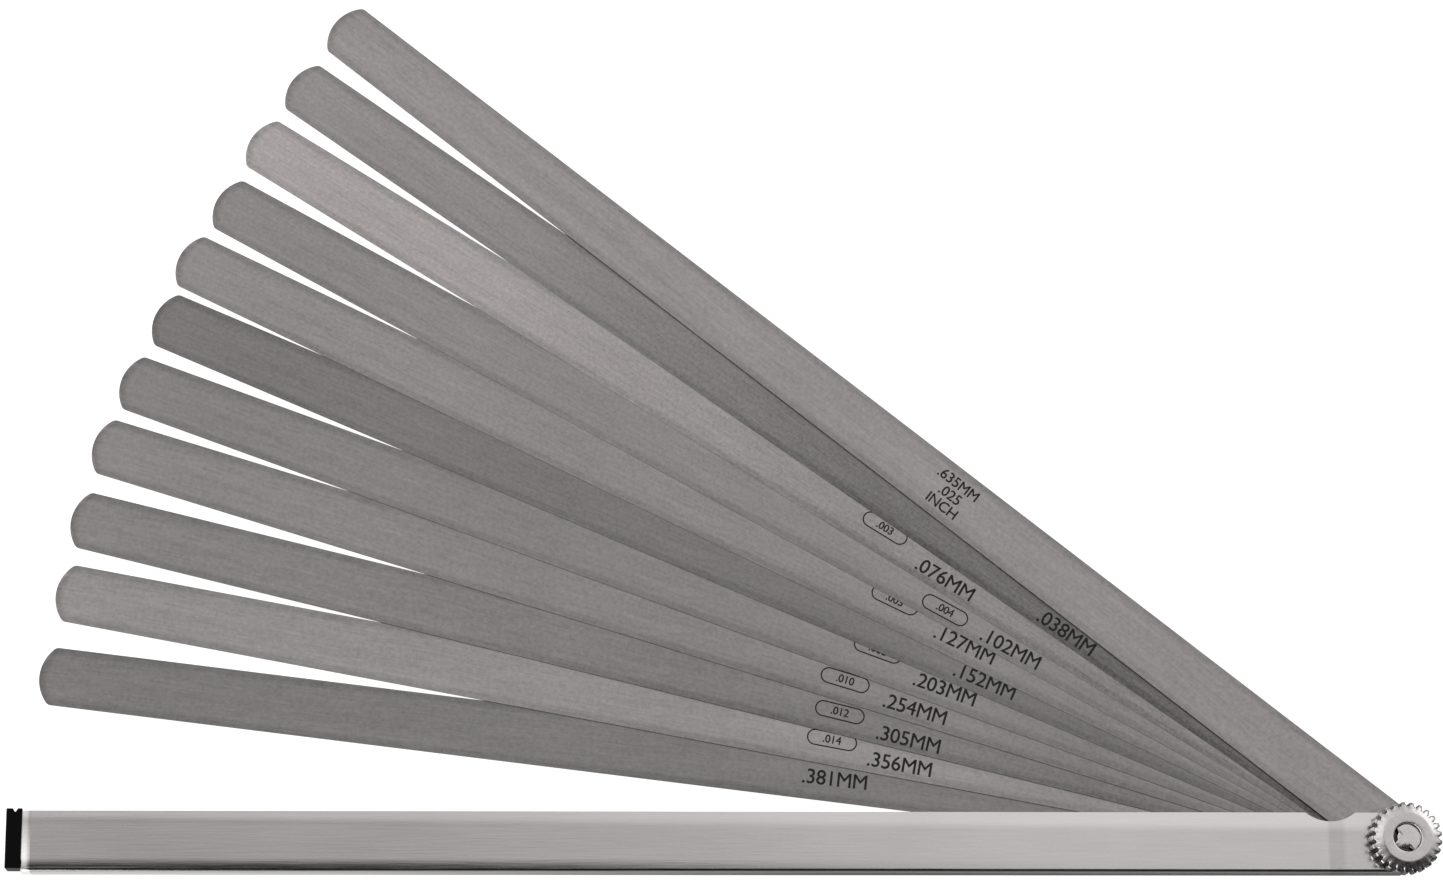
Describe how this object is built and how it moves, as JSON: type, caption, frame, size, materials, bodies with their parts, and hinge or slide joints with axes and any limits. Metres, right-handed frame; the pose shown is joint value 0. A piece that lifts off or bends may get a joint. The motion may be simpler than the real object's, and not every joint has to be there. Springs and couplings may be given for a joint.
{
  "type": "long-leaf feeler gauge",
  "caption": "Folding feeler gauge: thin steel leaves of stepped thickness fan out of a slim sheet-steel case about a stud with a knurled lock nut.",
  "frame": {"origin": "where the stud's axis meets the outer face of the case's back wall", "axes": "+Z along the stud towards the nut; the case runs along -X from the stud; +Y is the case's open side, where the leaves come out"},
  "size_m": [0.3096, 0.1968, 0.0105],
  "materials": {
    "case_steel": "satin nickel plate",
    "cap_plastic": "moulded black, semi-gloss",
    "stud_steel": "turned, bright",
    "washer_steel": "plain",
    "nut_plating": "bright nickel plate, straight knurl",
    "leaf_steel": "ground spring steel, etched sizes"
  },
  "bodies": {
    "frame": {"case": "case_steel", "end_cap": "cap_plastic", "pivot_stud": "stud_steel", "back_spacer": "washer_steel", "front_spacer": "washer_steel"},
    "washer": {"clamp_washer": "washer_steel"},
    "nut": {"knurled_nut": "nut_plating"},
    "leaf_01_635": {"leaf_01_635": "leaf_steel"},
    "leaf_02_038": {"leaf_02_038": "leaf_steel"},
    "leaf_03_076": {"leaf_03_076": "leaf_steel"},
    "leaf_04_102": {"leaf_04_102": "leaf_steel"},
    "leaf_05_127": {"leaf_05_127": "leaf_steel"},
    "leaf_06_152": {"leaf_06_152": "leaf_steel"},
    "leaf_07_203": {"leaf_07_203": "leaf_steel"},
    "leaf_08_254": {"leaf_08_254": "leaf_steel"},
    "leaf_09_305": {"leaf_09_305": "leaf_steel"},
    "leaf_10_356": {"leaf_10_356": "leaf_steel"},
    "leaf_11_381": {"leaf_11_381": "leaf_steel"}
  },
  "joints": [
    {"name": "nut_lift", "type": "slide", "parent": "frame", "child": "washer", "axis": [0, 0, 1], "range_m": [0, 0.0007]},
    {"name": "nut_turn", "type": "hinge", "parent": "washer", "child": "nut", "pos_m": [0, 0, 0.006], "axis": [0, 0, 1], "range_deg": [0, 360]},
    {"name": "leaf_01_635_swing", "type": "hinge", "parent": "frame", "child": "leaf_01_635", "pos_m": [0, 0, 0.002], "axis": [0, 0, -1], "range_deg": [-38.4, 141.6]},
    {"name": "leaf_02_038_swing", "type": "hinge", "parent": "frame", "child": "leaf_02_038", "pos_m": [0, 0, 0.002], "axis": [0, 0, -1], "range_deg": [-35.2, 144.8]},
    {"name": "leaf_03_076_swing", "type": "hinge", "parent": "frame", "child": "leaf_03_076", "pos_m": [0, 0, 0.002], "axis": [0, 0, -1], "range_deg": [-32.1, 147.9]},
    {"name": "leaf_04_102_swing", "type": "hinge", "parent": "frame", "child": "leaf_04_102", "pos_m": [0, 0, 0.002], "axis": [0, 0, -1], "range_deg": [-29, 151]},
    {"name": "leaf_05_127_swing", "type": "hinge", "parent": "frame", "child": "leaf_05_127", "pos_m": [0, 0, 0.002], "axis": [0, 0, -1], "range_deg": [-26, 154]},
    {"name": "leaf_06_152_swing", "type": "hinge", "parent": "frame", "child": "leaf_06_152", "pos_m": [0, 0, 0.002], "axis": [0, 0, -1], "range_deg": [-23.2, 156.8]},
    {"name": "leaf_07_203_swing", "type": "hinge", "parent": "frame", "child": "leaf_07_203", "pos_m": [0, 0, 0.002], "axis": [0, 0, -1], "range_deg": [-20.1, 159.9]},
    {"name": "leaf_08_254_swing", "type": "hinge", "parent": "frame", "child": "leaf_08_254", "pos_m": [0, 0, 0.002], "axis": [0, 0, -1], "range_deg": [-17.1, 162.9]},
    {"name": "leaf_09_305_swing", "type": "hinge", "parent": "frame", "child": "leaf_09_305", "pos_m": [0, 0, 0.002], "axis": [0, 0, -1], "range_deg": [-13.8, 166.2]},
    {"name": "leaf_10_356_swing", "type": "hinge", "parent": "frame", "child": "leaf_10_356", "pos_m": [0, 0, 0.002], "axis": [0, 0, -1], "range_deg": [-10.6, 169.4]},
    {"name": "leaf_11_381_swing", "type": "hinge", "parent": "frame", "child": "leaf_11_381", "pos_m": [0, 0, 0.002], "axis": [0, 0, -1], "range_deg": [-7, 173]}
  ],
  "couplings": [
    {"joint": "nut_turn", "follows": "nut_lift", "rad_per_m": 8975.9}
  ]
}
